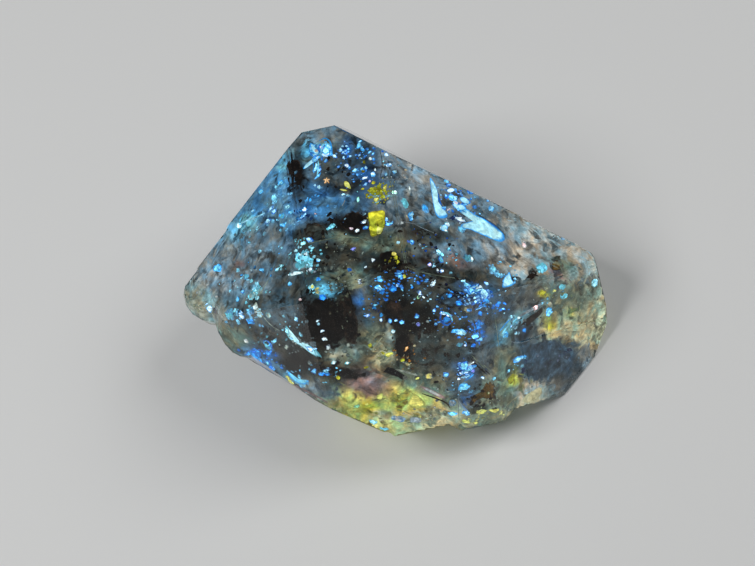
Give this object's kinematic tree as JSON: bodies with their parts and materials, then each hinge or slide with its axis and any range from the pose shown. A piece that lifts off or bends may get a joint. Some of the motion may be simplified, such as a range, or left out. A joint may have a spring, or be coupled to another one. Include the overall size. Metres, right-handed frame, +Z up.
{
  "type": "petroleum quartz crystal",
  "caption": "Loose stubby quartz crystal with a point at each end, smoky and see-through, with sealed petroleum droplets inside, lying on a side face.",
  "frame": {"origin": "on the resting face, under the middle of the crystal's bounding box", "axes": "+X along the crystal's long axis towards its worn right-hand point, +Z up from the side face that it lies on"},
  "size_m": [0.0208, 0.0162, 0.0108],
  "materials": {
    "smoky_quartz": "see-through smoky grey-brown, glassy growth faces",
    "petroleum": "oil droplets and films that glow light blue",
    "yellow_petroleum": "oil droplets and films that glow yellow",
    "bitumen": "black-brown tar flakes",
    "healed_fracture": "hazy grey-brown veils of fine fluid specks"
  },
  "bodies": {
    "root": {"quartz_crystal": "smoky_quartz"}
  },
  "joints": []
}
